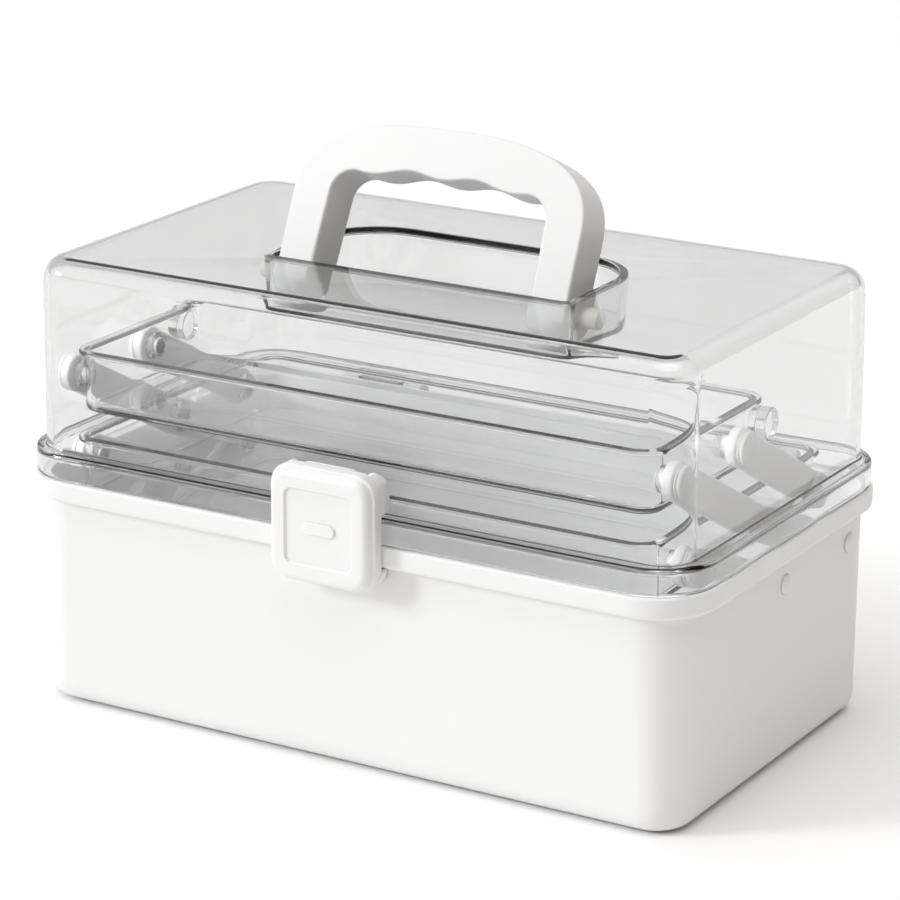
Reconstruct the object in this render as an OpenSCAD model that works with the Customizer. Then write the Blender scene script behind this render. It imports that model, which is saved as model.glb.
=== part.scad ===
// Carrying box with a clear hinged lid, a front latch, a folding handle and
// two clear trays that rise and fold back on linked arms.
// Millimetres, +Z up, front of the box towards -Y.
// The origin is the centre of the flat underside of the tub.

/* [Tub] */
// Width of the tub wall just below its rim
tub_w = 305; // [296:1:330]
// Depth of the tub wall just below its rim
tub_d = 178; // [176:1:196]
// Height of the tub from its underside to the top of its rim
tub_h = 99; // [95:0.5:104]
// Thickness of the tub wall and floor
tub_wall = 2.5; // [2:0.1:3]
// Radius of the tub's upright corners at the rim
tub_corner_r = 22; // [18:1:28]
// Radius of the tub's upright corners at the underside
tub_foot_r = 17; // [14:1:24]
// Radius of the rounded edge round the tub's underside
tub_edge_r = 8; // [5:0.5:12]
// How far each wall leans in from the rim to the underside
tub_taper = 1.7; // [1:0.1:3]
// How far the rim stands out from the tub wall
rim_out = 4.5; // [4:0.1:6]
// Height of the rim band
rim_h = 9; // [8:0.5:13]

/* [Lid] */
// Height of the lid from the lower edge of its flange to its roof
lid_h = 90.5; // [90:0.5:104]
// Thickness of the lid wall and roof
lid_wall = 2.5; // [2:0.1:2.8]
// How far the lid wall lies in from the edge of the tub's rim
lid_inset = 7; // [6:0.1:8]
// How far the flange edge lies in from the edge of the tub's rim
flange_inset = 1; // [0.6:0.1:1.6]
// Height of the flange round the foot of the lid
flange_h = 11; // [9:0.5:12]
// Radius of the lid's upright corners
lid_corner_r = 15; // [15:1:20]
// Radius of the rounded edge round the roof
lid_edge_r = 8.5; // [6:0.5:9]
// Gap between the rim of the tub and the flange of the closed lid
lid_gap = 0.4; // [0.3:0.1:0.6]

/* [Rear hinges] */
// Distance from each end of the rim to the middle of the nearest hinge
hinge_in = 66.5; // [50:0.5:96]
// Width of the middle knuckle, which belongs to the lid
lid_knuckle_w = 21.4; // [16:0.2:26]
// Width of each outer knuckle, which belongs to the tub
tub_knuckle_w = 9; // [7:0.5:12]
// Outer radius of the knuckles
knuckle_r = 4.5; // [4:0.1:5]
// Radius of the hinge pin
hinge_pin_r = 1.5; // [1.2:0.1:1.8]
// Distance from the rim to the knuckles
knuckle_gap = 0.6; // [0.5:0.1:1.2]
// Height of the web that joins each knuckle to the rim or the flange
web_h = 6.5; // [5:0.5:8]
// Gap between the webs of the tub and the parting line of the hinge
web_gap = 0.5; // [0.3:0.1:0.8]
// How far the head of the hinge pin stands out round its shaft
hinge_head_out = 1.1; // [0.6:0.1:1.6]
// Thickness of the head of the hinge pin
hinge_head_t = 1.2; // [0.8:0.1:2]

/* [Latch] */
// Width of the latch
latch_w = 48; // [42:1:54]
// Height of the latch plate
latch_h = 48; // [46:0.5:50]
// Height of the upper edge of the latch above the flange
latch_rise = 18.1; // [17:0.1:19]
// Corner radius of the latch plate
latch_corner_r = 9; // [6:0.5:11]
// Depth of the latch from its face to the lid wall
latch_depth = 16.4; // [14.5:0.1:18]
// Thickness of the latch shell
latch_wall = 2.5; // [2:0.1:2.6]
// Width of the square panel sunk in the latch face
latch_panel_w = 31; // [28:0.5:36]
// Height of the square panel sunk in the latch face
latch_panel_h = 31; // [28:0.5:35]
// Depth of the square panel below the latch face
latch_panel_sink = 1; // [0.5:0.1:1.4]
// Corner radius of the sunk panel
latch_panel_r = 3; // [1:0.5:5]
// Length of the raised bar on the panel
latch_bar_w = 15; // [10:0.5:20]
// Height of the raised bar on the panel
latch_bar_h = 5; // [4:0.5:7]
// Distance from the pivot of the latch to its upper edge
latch_pivot_drop = 5; // [4.6:0.1:5.2]
// Distance from the pivot of the latch to the lid wall
latch_pivot_out = 6; // [5.8:0.1:6.6]
// Radius of the pivot rod of the latch
latch_rod_r = 1.5; // [1.2:0.1:1.7]
// Gap between the latch and the lid wall
latch_gap = 0.3; // [0.2:0.1:0.5]
// Gap between the latch and the lugs, the rim and the flange
latch_clear = 0.5; // [0.4:0.1:1]
// Height above the flange at which the latch reaches back to the lid wall
latch_foot_rise = 2.1; // [1.8:0.1:4]
// Distance of each pivot lug from the middle of the latch
lug_x = 14; // [12:0.5:16]
// Thickness of each pivot lug
lug_t = 5; // [4:0.5:6]
// Outer radius of each pivot lug
lug_r = 2.9; // [2.7:0.1:3]

/* [Handle] */
// Half of the width of the handle over its legs
handle_half_w = 67.4; // [60:0.2:70]
// Reach of the handle from its pivot to the top of its arch
handle_reach = 66.5; // [62:0.5:68]
// Thickness of the handle from front to back
handle_t = 20; // [18:0.5:21]
// Width of each leg at its foot, seen from the front
handle_leg_w = 15.9; // [14:0.1:18]
// How much wider each leg is at the grip than at its foot
handle_leg_grow = 1.5; // [0:0.1:2.5]
// Distance from the pivot to the start of the arch
handle_arch_start = 30; // [26:0.5:34]
// Squareness of the arch, where 2 is an ellipse
handle_arch_power = 2.7; // [2.2:0.1:3.4]
// Distance from the pivot to the middle of the grip's underside
grip_under = 46.6; // [44:0.2:48]
// How far the underside of the grip drops towards the legs
grip_drop = 3.4; // [2:0.1:4]
// Radius of the inner corners between the grip and the legs
grip_corner_r = 10; // [6:0.5:11]
// Depth of the finger waves under the grip
finger_wave = 1.1; // [0.5:0.1:1.5]
// Length of one finger wave
finger_pitch = 31; // [27:0.5:33]
// How far the handle leans back at rest, in degrees
handle_lean = 24; // [0:1:40]
// Place of the handle pivot, from front to back
handle_y = -19; // [-24:0.5:-14]
// Radius of the handle pins
handle_pin_r = 4; // [3:0.1:4.4]
// How far each handle pin reaches past the wall of the well
handle_pin_out = 8.5; // [5:0.5:10]
// How deep each handle pin sits in its leg
handle_pin_in = 11; // [8:0.5:12]

/* [Handle well] */
// Gap between each leg of the handle and the end of the well
well_side_gap = 1.6; // [1:0.1:3]
// Gap between the handle and the front and floor of the well
well_gap = 0.5; // [0.5:0.1:1.5]
// Depth of the well from front to rear
well_d = 65; // [60:0.5:78]
// Depth of the round feet of the handle below the roof of the lid
handle_sink = 0.1; // [0:0.1:1]
// Radius of the two rear corners of the well
well_rear_r = 28; // [24:1:30]
// Radius of the two front corners of the well
well_front_r = 2.5; // [1:0.1:3]

/* [Trays] */
// Room for the arms between the end walls of the trays and the lid wall
arm_room = 14.5; // [14.5:0.1:22]
// Height of each tray
tray_h = 26; // [24:0.5:27]
// Thickness of the tray walls and floors
tray_wall = 2; // [1.6:0.1:2.4]
// Corner radius of the trays
tray_corner_r = 9; // [7:0.5:12]
// Width of the rim round each tray
tray_rim_out = 2.5; // [2:0.1:2.8]
// Thickness of the rim round each tray
tray_rim_t = 2; // [1.6:0.1:2.4]
// Gap between the lid wall and the front edge of the upper tray's rim
upper_front_gap = 5; // [4.7:0.1:6]
// Depth of the upper tray over its rim
upper_tray_d = 94.5; // [90.5:0.5:100.5]
// Gap between the lid wall and the front edge of the middle tray's rim
middle_front_gap = 3.5; // [3:0.5:5.5]
// Gap between the lid wall and the rear edge of the middle tray's rim
middle_rear_gap = 13.5; // [12.5:0.5:16]
// Height of the middle tray's rim above the rim of the tub
middle_rise = 16; // [15.5:0.5:17.5]
// Depth of the tray pivots below the rim of their tray
pivot_drop = 12; // [11:0.5:13]

/* [Arms] */
// Distance from the rear of the tub to the rear pivots on its end walls
base_pivot_in = 28; // [27:0.5:31]
// Depth of the pivots on the tub below its rim
base_pivot_drop = 20.5; // [19.5:0.5:21.5]
// Distance from the front edge of the middle tray to its front pivots
middle_front_pivot_in = 20; // [19:0.5:21]
// Distance from the rear edge of the middle tray to its rear pivots
middle_rear_pivot_in = 22; // [21.5:0.5:25]
// Distance from the front edge of the upper tray to its front pivots
upper_pivot_in = 9.5; // [9.2:0.1:10.5]
// Rise from the pivots of the middle tray to the pivots of the upper tray
upper_rise = 36.5; // [35:0.5:37.5]
// Distance between the two pivots on the upper tray, from front to back
upper_pitch = 50; // [48:0.5:51]
// Thickness of the arms
arm_t = 4.5; // [3.5:0.1:5]
// Width of the arms between their eyes
arm_w = 15; // [12:0.5:15.5]
// Radius of the eyes at the ends of the arms
arm_eye_r = 8; // [7.5:0.1:8]
// Gap between the rim of a tray and the arms
arm_gap = 1; // [0.6:0.1:1.4]
// Distance along the upper arm from its eye to the stop stud it carries
stop_along = 20; // [19:0.5:24]
// Radius of the stop stud on the upper tray
stop_r = 6.5; // [5:0.5:7]

/* [Pivot pins] */
// Radius of the shafts of the arm pins
pin_r = 3.5; // [3:0.1:3.8]
// Radius of the button heads of the tray pins
button_r = 7.5; // [7:0.1:8]
// Thickness of the button heads
button_t = 2; // [1.5:0.1:2]
// Radius of the raised step on each button head
button_step_r = 5; // [4:0.1:6]
// Height of the raised step on each button head
button_step_t = 1; // [0.6:0.1:1]
// Radius of the domed heads of the tub pins and the elbow pins
dome_r = 4.3; // [4.1:0.1:5]
// Height of the domed heads
dome_h = 1.6; // [1:0.1:2]
// Thickness of the collar on the inner end of each tub pin
collar_t = 1.2; // [1:0.1:1.3]
// Radius of the bosses that carry the pins inside the tub
boss_r = 7; // [6:0.5:8]
// Radius of the bosses that carry the pins on the trays
tray_boss_r = 5.5; // [5:0.5:6.5]
// Radial clearance between each pin and its bore
pin_fit = 0.05; // [0.03:0.01:0.1]
// Gap between pieces that turn beside each other
side_gap = 0.3; // [0.3:0.05:0.5]
// Gap under the heads of pins that stay where they are
head_gap = 0.1; // [0.05:0.05:0.2]

/* [Hidden] */

$fn = 48;
hull_fn = 32;
arch_steps = 48;
grip_steps = 40;
cut = 1;

rim_w = tub_w + 2 * rim_out;
rim_d = tub_d + 2 * rim_out;
rim_r = tub_corner_r + rim_out;
rim_z = tub_h - rim_h;

lid_w = rim_w - 2 * lid_inset;
lid_d = rim_d - 2 * lid_inset;
lid_z = tub_h + lid_gap;
lid_top = lid_z + lid_h;
flange_w = rim_w - 2 * flange_inset;
flange_d = rim_d - 2 * flange_inset;
flange_r = rim_r - flange_inset;
flange_top = lid_z + flange_h;

hinge_x = rim_w / 2 - hinge_in;
hinge_y = rim_d / 2 + knuckle_gap + knuckle_r;
hinge_z = tub_h + lid_gap / 2;
hinge_w = lid_knuckle_w + 2 * side_gap + 2 * tub_knuckle_w;
hinge_head_r = hinge_pin_r + hinge_head_out;

latch_back = -lid_d / 2 - latch_gap;
latch_face = latch_back - latch_depth;
latch_pivot_y = -lid_d / 2 - latch_pivot_out;
latch_top = flange_top + latch_rise;
latch_bottom = latch_top - latch_h;
latch_pivot_z = latch_top - latch_pivot_drop;
latch_foot = flange_top + latch_foot_rise;

handle_z = lid_top - handle_t / 2 - handle_sink;
well_half_w = handle_half_w + well_side_gap;
well_front = handle_y - handle_t / 2 - well_gap;
well_rear = well_front + well_d;
well_floor = handle_z - handle_t / 2 - well_gap;
foot_half_w = handle_half_w - handle_leg_w;
grip_half_w = foot_half_w - handle_leg_grow;

tray_half_w = lid_w / 2 - lid_wall - arm_room;
tray_w = 2 * tray_half_w;
arm_x = tray_half_w + tray_rim_out + arm_gap;
arm_out = arm_x + arm_t;
middle_front = -lid_d / 2 + lid_wall + middle_front_gap;
middle_rear = lid_d / 2 - lid_wall - middle_rear_gap;
middle_top = tub_h + middle_rise;
upper_front = -lid_d / 2 + lid_wall + upper_front_gap;
upper_rear = upper_front + upper_tray_d;
upper_top = middle_top + upper_rise;

// Pivots as [distance towards the rear, height]
middle_front_pivot = [middle_front + middle_front_pivot_in, middle_top - pivot_drop];
middle_rear_pivot = [middle_rear - middle_rear_pivot_in, middle_top - pivot_drop];
elbow_pivot = middle_rear_pivot - [upper_pitch, 0];
tub_rear_pivot = [tub_d / 2 - base_pivot_in, tub_h - base_pivot_drop];
tub_front_pivot = tub_rear_pivot - elbow_pivot + middle_front_pivot;
upper_front_pivot = [upper_front + upper_pivot_in, upper_top - pivot_drop];
upper_rear_pivot = upper_front_pivot + [upper_pitch, 0];
pin_wall_in = tub_taper * (base_pivot_drop - cut - dome_r) / (tub_h - cut - tub_edge_r);

upper_arm_run = middle_rear_pivot - upper_rear_pivot;
upper_arm_angle = atan2(upper_arm_run[1], upper_arm_run[0]);
stop_up = arm_w / 2 + stop_r + side_gap;
stop_centre = upper_rear_pivot
    + stop_along * [cos(upper_arm_angle), sin(upper_arm_angle)]
    + stop_up * [-sin(upper_arm_angle), cos(upper_arm_angle)];

white = "white";
cream = "ivory";
steel = "silver";
clear = [0.85, 0.9, 0.92, 0.45];

// Flat rectangle with round corners, centred
module rounded_rect(w, d, r) {
    square([w - 2 * r, d], center = true);
    square([w, d - 2 * r], center = true);
    for (x = [-1, 1], y = [-1, 1])
        translate([x * (w / 2 - r), y * (d / 2 - r)]) circle(r);
}

// Flat bar with half-round ends, centred
module capsule(w, h) {
    square([w - h, h], center = true);
    for (x = [-1, 1]) translate([x * (w - h) / 2, 0]) circle(h / 2);
}

// Plate with round corners, standing on z = 0
module rounded_slab(w, d, h, r) {
    linear_extrude(h) rounded_rect(w, d, r);
}

// Four round-edged corners, as one layer of a hull
module corner_rings(w, d, r, edge) {
    for (x = [-1, 1], y = [-1, 1])
        translate([x * (w / 2 - r), y * (d / 2 - r), 0])
            rotate_extrude($fn = hull_fn) intersection() {
                translate([r - edge, 0]) circle(edge, $fn = hull_fn);
                translate([0, -edge]) square([r, 2 * edge]);
            }
}

// Block that narrows to a rounded lower edge at z = 0
module drafted_block(w, d, h, taper, r, foot_r, edge) {
    hull($fn = hull_fn) {
        translate([0, 0, h - cut]) rounded_slab(w, d, cut, r, $fn = hull_fn);
        translate([0, 0, edge]) corner_rings(w - 2 * taper, d - 2 * taper, foot_r, edge);
    }
}

// Block with a rounded upper edge at z = h
module domed_block(w, d, h, r, edge) {
    hull($fn = hull_fn) {
        rounded_slab(w, d, cut, r, $fn = hull_fn);
        translate([0, 0, h - edge]) corner_rings(w, d, r, edge);
    }
}

// Extrudes a side profile, drawn as [towards the rear, up], towards +X
module side_extrude(x, t) {
    translate([x, 0, 0]) rotate([90, 0, 90]) linear_extrude(t) children();
}

// Cylinder along X that starts at x
module rod(x, t, r, at) {
    translate([x, at[0], at[1]]) rotate([0, 90, 0]) cylinder(r = r, h = t);
}

// Makes the right-hand piece, or mirrors it to the left
module on_side(side) {
    if (side > 0) children();
    else mirror([1, 0, 0]) children();
}

// Straight bar between two points of a side profile
module profile_bar(a, b, w) {
    run = b - a;
    translate(a) rotate(atan2(run[1], run[0])) translate([0, -w / 2]) square([norm(run), w]);
}

module tub_knuckles() {
    for (hx = [-hinge_x, hinge_x])
        for (x = [hx - hinge_w / 2, hx + hinge_w / 2 - tub_knuckle_w]) {
            rod(x, tub_knuckle_w, knuckle_r, [hinge_y, hinge_z]);
            translate([x, rim_d / 2 - cut, tub_h - web_gap / 2 - web_h])
                cube([tub_knuckle_w, hinge_y - rim_d / 2 + cut, web_h]);
        }
}

module hinge_bores() {
    for (hx = [-hinge_x, hinge_x])
        rod(hx - hinge_w / 2 - cut, hinge_w + 2 * cut, hinge_pin_r + pin_fit, [hinge_y, hinge_z]);
}

module tub_cavity() {
    translate([0, 0, tub_wall])
        drafted_block(tub_w - 2 * tub_wall, tub_d - 2 * tub_wall, tub_h - tub_wall + cut,
            tub_taper, tub_corner_r - tub_wall, tub_foot_r - tub_wall, tub_edge_r - tub_wall);
}

// White tub with its rim, its hinge knuckles and the bosses of the arm pivots
module base_tub() {
    wall_x = tub_w / 2 - tub_wall / 2 - tub_taper / 2;
    color(white) difference() {
        union() {
            difference() {
                union() {
                    drafted_block(tub_w, tub_d, tub_h, tub_taper, tub_corner_r, tub_foot_r, tub_edge_r);
                    translate([0, 0, rim_z]) rounded_slab(rim_w, rim_d, rim_h, rim_r);
                }
                tub_cavity();
            }
            for (side = [-1, 1], pivot = [tub_front_pivot, tub_rear_pivot])
                on_side(side) rod(arm_out + side_gap, wall_x - arm_out - side_gap, boss_r, pivot);
            tub_knuckles();
        }
        hinge_bores();
        for (side = [-1, 1], pivot = [tub_front_pivot, tub_rear_pivot])
            on_side(side) rod(arm_out, tub_w / 2 - arm_out + cut, pin_r + pin_fit, pivot);
    }
}

// Steel pin of one rear hinge, with its head on the outer end
module hinge_pin(side) {
    color(steel) on_side(side) union() {
        rod(hinge_x - hinge_w / 2, hinge_w + side_gap, hinge_pin_r, [hinge_y, hinge_z]);
        rod(hinge_x + hinge_w / 2 + head_gap, hinge_head_t, hinge_head_r, [hinge_y, hinge_z]);
    }
}

// Spherical cap that stands on x and points towards +X
module dome(x, r, h, at) {
    ball_r = (r * r + h * h) / (2 * h);
    translate([x, at[0], at[1]]) rotate([0, 90, 0]) intersection() {
        translate([0, 0, h - ball_r]) sphere(ball_r);
        cylinder(r = r + cut, h = h + cut);
    }
}

// The two pins that carry the arms on one side wall of the tub
module tub_pins(side) {
    seat = tub_w / 2 - pin_wall_in + head_gap;
    inner = arm_x - side_gap - collar_t;
    color(white) on_side(side) for (pivot = [tub_front_pivot, tub_rear_pivot]) union() {
        rod(inner, seat - inner + side_gap, pin_r, pivot);
        rod(inner, collar_t, dome_r, pivot);
        dome(seat, dome_r, dome_h, pivot);
    }
}

// Outline of the handle well, drawn larger by grow
module well_outline(grow) {
    half_w = well_half_w + grow;
    rear = well_rear + grow;
    front = well_front - grow;
    rear_r = well_rear_r + grow;
    front_r = well_front_r + grow;
    translate([-half_w, front + front_r]) square([2 * half_w, rear - rear_r - front - front_r]);
    translate([-half_w + front_r, front]) square([2 * (half_w - front_r), front_r + cut]);
    translate([-half_w + rear_r, rear - rear_r - cut]) square([2 * (half_w - rear_r), rear_r + cut]);
    for (x = [-1, 1]) {
        translate([x * (half_w - rear_r), rear - rear_r]) circle(rear_r);
        translate([x * (half_w - front_r), front + front_r]) circle(front_r);
    }
}

// Ledge and skirt round the foot of the lid
module lid_flange() {
    rounded_slab(flange_w, flange_d, flange_h, flange_r);
}

module flange_hollow() {
    translate([0, 0, -cut])
        rounded_slab(flange_w - 2 * lid_wall, flange_d - 2 * lid_wall,
            flange_h - lid_wall + cut, flange_r - lid_wall);
}

module lid_knuckles() {
    for (hx = [-hinge_x, hinge_x]) {
        rod(hx - lid_knuckle_w / 2, lid_knuckle_w, knuckle_r, [hinge_y, hinge_z]);
        translate([hx - lid_knuckle_w / 2, flange_d / 2 - cut, hinge_z + web_gap])
            cube([lid_knuckle_w, hinge_y - flange_d / 2 + cut, web_h]);
    }
}

module latch_lugs() {
    for (x = [-lug_x, lug_x]) {
        rod(x - lug_t / 2, lug_t, lug_r, [latch_pivot_y, latch_pivot_z]);
        translate([x - lug_t / 2, latch_pivot_y, latch_pivot_z - lug_r])
            cube([lug_t, latch_pivot_out + lid_wall / 2, 2 * lug_r]);
    }
}

// Clear lid with its flange, handle well, latch lugs and hinge knuckles
module lid_shell() {
    color(clear) difference() {
        union() {
            difference() {
                union() {
                    translate([0, 0, lid_z]) domed_block(lid_w, lid_d, lid_h, lid_corner_r, lid_edge_r);
                    translate([0, 0, lid_z]) lid_flange();
                }
                translate([0, 0, lid_z - cut])
                    domed_block(lid_w - 2 * lid_wall, lid_d - 2 * lid_wall, lid_h - lid_wall + cut,
                        lid_corner_r - lid_wall, lid_edge_r - lid_wall);
                translate([0, 0, lid_z]) flange_hollow();
            }
            translate([0, 0, well_floor - lid_wall])
                linear_extrude(lid_top - lid_wall / 2 - well_floor + lid_wall) well_outline(lid_wall);
            latch_lugs();
            lid_knuckles();
        }
        translate([0, 0, well_floor]) linear_extrude(lid_top - well_floor + cut) well_outline(0);
        rod(-well_half_w - 2 * lid_wall, 2 * well_half_w + 4 * lid_wall,
            handle_pin_r + pin_fit, [handle_y, handle_z]);
        rod(-lug_x - lug_t, 2 * lug_x + 2 * lug_t, latch_rod_r + pin_fit, [latch_pivot_y, latch_pivot_z]);
        hinge_bores();
    }
}

// Side profile of the latch, round behind its pivot so that it clears the lid
module latch_profile() {
    translate([latch_face, latch_bottom]) square([latch_pivot_y - latch_face, latch_h]);
    translate([latch_pivot_y, latch_pivot_z]) circle(latch_pivot_drop);
    translate([latch_pivot_y - cut, latch_foot])
        square([latch_back - latch_pivot_y + cut, latch_pivot_z - latch_foot]);
}

module latch_plate(w, h, depth, r) {
    translate([0, latch_face, latch_top - latch_h / 2])
        rotate([-90, 0, 0]) linear_extrude(depth) rounded_rect(w, h, r);
}

// White latch plate with its sunk panel, raised bar and pivot rod
module latch() {
    mid_z = latch_top - latch_h / 2;
    rim_front = -rim_d / 2 - latch_clear;
    slot_r = lug_r + latch_clear;
    color(white) union() {
        difference() {
            intersection() {
                latch_plate(latch_w, latch_h, latch_depth, latch_corner_r);
                side_extrude(-latch_w / 2, latch_w) latch_profile();
            }
            translate([0, latch_wall, 0])
                latch_plate(latch_w - 2 * latch_wall, latch_h - 2 * latch_wall,
                    latch_depth, latch_corner_r - latch_wall);
            translate([-latch_w / 2 - cut, rim_front, latch_bottom - cut])
                cube([latch_w + 2 * cut, latch_depth, latch_foot - latch_bottom + cut]);
            translate([0, latch_face - cut, mid_z]) rotate([-90, 0, 0])
                linear_extrude(latch_panel_sink + cut)
                    rounded_rect(latch_panel_w, latch_panel_h, latch_panel_r);
            for (x = [-lug_x, lug_x])
                translate([x - lug_t / 2 - latch_clear, latch_pivot_y - slot_r, latch_pivot_z - slot_r])
                    cube([lug_t + 2 * latch_clear, latch_depth, latch_h]);
        }
        translate([0, latch_face + latch_panel_sink / 2, mid_z]) rotate([-90, 0, 0])
            linear_extrude(latch_panel_sink) capsule(latch_bar_w, latch_bar_h);
        rod(-latch_w / 2 + latch_wall / 2, latch_w - latch_wall, latch_rod_r,
            [latch_pivot_y, latch_pivot_z]);
    }
}

// Height of the arch at a distance x from the middle of the handle
function arch(x) = handle_arch_start + (handle_reach - handle_arch_start)
    * pow(1 - pow(min(1, abs(x) / handle_half_w), handle_arch_power), 1 / handle_arch_power);

// Height of the waved underside of the grip at a distance x from the middle
function grip(x) = grip_under - grip_drop * pow(x / grip_half_w, 2)
    - finger_wave * cos(360 * x / finger_pitch);

module handle_outline() {
    polygon([
        [-handle_half_w, -handle_t],
        for (i = [0 : arch_steps])
            let (a = 180 - 180 * i / arch_steps, x = handle_half_w * cos(a)) [x, arch(x)],
        [handle_half_w, -handle_t]
    ]);
}

module grip_opening() {
    flat_half_w = grip_half_w - grip_corner_r;
    corner_z = grip(flat_half_w) - grip_corner_r;
    polygon([
        [-flat_half_w, -handle_t - cut],
        for (i = [0 : grip_steps])
            let (x = flat_half_w * (2 * i / grip_steps - 1)) [x, grip(x)],
        [flat_half_w, -handle_t - cut]
    ]);
    polygon([
        [-foot_half_w, -handle_t - cut], [foot_half_w, -handle_t - cut],
        [grip_half_w, corner_z], [-grip_half_w, corner_z]
    ]);
    for (x = [-1, 1]) translate([x * flat_half_w, corner_z]) circle(grip_corner_r);
}

module in_handle_frame() {
    translate([0, handle_y, handle_z]) rotate([-handle_lean, 0, 0]) children();
}

// White handle with round leg ends and a waved grip
module handle() {
    color(white) in_handle_frame() difference() {
        intersection() {
            rotate([90, 0, 0]) translate([0, 0, -handle_t / 2]) linear_extrude(handle_t) difference() {
                handle_outline();
                grip_opening();
            }
            side_extrude(-handle_half_w - cut, 2 * handle_half_w + 2 * cut) union() {
                circle(handle_t / 2);
                translate([-handle_t / 2, 0]) square([handle_t, handle_reach + cut]);
            }
        }
        for (side = [-1, 1]) on_side(side)
            rod(handle_half_w - handle_pin_in, handle_pin_in + cut, handle_pin_r + pin_fit, [0, 0]);
    }
}

// Plain round pin between one leg of the handle and the end of the well
module handle_pin(side) {
    inner = handle_half_w - handle_pin_in + pin_fit;
    outer = well_half_w + lid_wall + handle_pin_out;
    color(cream) on_side(side) union() {
        rod(inner, outer - inner - dome_h, handle_pin_r, [handle_y, handle_z]);
        dome(outer - dome_h, handle_pin_r, dome_h, [handle_y, handle_z]);
    }
}

// Open tray from front to rear edge of its rim, with bosses at its pivots
module tray(front, rear, top, pivots) {
    wall_d = rear - front - 2 * tray_rim_out;
    mid_y = (front + rear) / 2;
    difference() {
        union() {
            translate([0, mid_y, top - tray_h]) rounded_slab(tray_w, wall_d, tray_h, tray_corner_r);
            translate([0, mid_y, top - tray_rim_t])
                rounded_slab(tray_w + 2 * tray_rim_out, rear - front, tray_rim_t,
                    tray_corner_r + tray_rim_out);
            for (side = [-1, 1], pivot = pivots)
                on_side(side) rod(tray_half_w - tray_wall / 2,
                    arm_x - side_gap - tray_half_w + tray_wall / 2, tray_boss_r, pivot);
        }
        translate([0, mid_y, top - tray_h + tray_wall])
            rounded_slab(tray_w - 2 * tray_wall, wall_d - 2 * tray_wall, tray_h,
                tray_corner_r - tray_wall);
        for (side = [-1, 1], pivot = pivots)
            on_side(side) rod(tray_half_w - tray_wall - cut, arm_x - tray_half_w + tray_wall + cut,
                pin_r + pin_fit, pivot);
    }
}

// Clear full-depth tray
module middle_tray() {
    color(clear) tray(middle_front, middle_rear, middle_top,
        [middle_front_pivot, elbow_pivot, middle_rear_pivot]);
}

// Clear shallow tray with a stud at each end that rests on the upper arm
module upper_tray() {
    color(clear) union() {
        tray(upper_front, upper_rear, upper_top, [upper_front_pivot, upper_rear_pivot]);
        for (side = [-1, 1]) on_side(side)
            rod(tray_half_w - tray_wall / 2, arm_out - tray_half_w + tray_wall / 2, stop_r, stop_centre);
    }
}

// Pin with a stepped button head, from inside a tray wall to outside an arm
module button_pin(pivot) {
    inner = tray_half_w - tray_wall;
    head = arm_out + side_gap;
    union() {
        rod(inner, head - inner + side_gap, pin_r, pivot);
        rod(head, button_t, button_r, pivot);
        rod(head + button_t - pin_fit, button_step_t + pin_fit, button_step_r, pivot);
    }
}

module button_pins(side, pivots) {
    color(white) on_side(side) for (pivot = pivots) button_pin(pivot);
}

// Domed pin through the middle eye of the long arm
module elbow_pin(side) {
    inner = tray_half_w - tray_wall;
    head = arm_out + side_gap;
    color(white) on_side(side) union() {
        rod(inner, head - inner + side_gap, pin_r, elbow_pivot);
        dome(head, dome_r, dome_h, elbow_pivot);
    }
}

// Flat arm through a chain of pivots, with an eye at each
module arm(side, pivots) {
    color(white) on_side(side) difference() {
        side_extrude(arm_x, arm_t) union() {
            for (i = [0 : len(pivots) - 2]) profile_bar(pivots[i], pivots[i + 1], arm_w);
            for (pivot = pivots) translate(pivot) circle(arm_eye_r);
        }
        for (pivot = pivots) rod(arm_x - cut, arm_t + 2 * cut, pin_r + pin_fit, pivot);
    }
}

module long_arm(side) {
    arm(side, [tub_rear_pivot, elbow_pivot, upper_front_pivot]);
}

module lower_arm(side) {
    arm(side, [tub_front_pivot, middle_front_pivot]);
}

module upper_arm(side) {
    arm(side, [middle_rear_pivot, upper_rear_pivot]);
}

base_tub();
hinge_pin(-1);  // hinge_pin_left
hinge_pin(1);  // hinge_pin_right
tub_pins(-1);  // tub_pins_left
tub_pins(1);  // tub_pins_right
lid_shell();
latch();
handle();
handle_pin(-1);  // handle_pin_left
handle_pin(1);  // handle_pin_right
middle_tray();
button_pins(-1, [middle_front_pivot, middle_rear_pivot]);  // middle_tray_pins_left
button_pins(1, [middle_front_pivot, middle_rear_pivot]);  // middle_tray_pins_right
elbow_pin(-1);  // elbow_pin_left
elbow_pin(1);  // elbow_pin_right
upper_tray();
button_pins(-1, [upper_front_pivot, upper_rear_pivot]);  // upper_tray_pins_left
button_pins(1, [upper_front_pivot, upper_rear_pivot]);  // upper_tray_pins_right
long_arm(-1);  // long_arm_left
long_arm(1);  // long_arm_right
lower_arm(-1);  // lower_arm_left
lower_arm(1);  // lower_arm_right
upper_arm(-1);  // upper_arm_left
upper_arm(1);  // upper_arm_right
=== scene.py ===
import math

import bpy
import bmesh
from mathutils import Matrix, Vector


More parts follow.
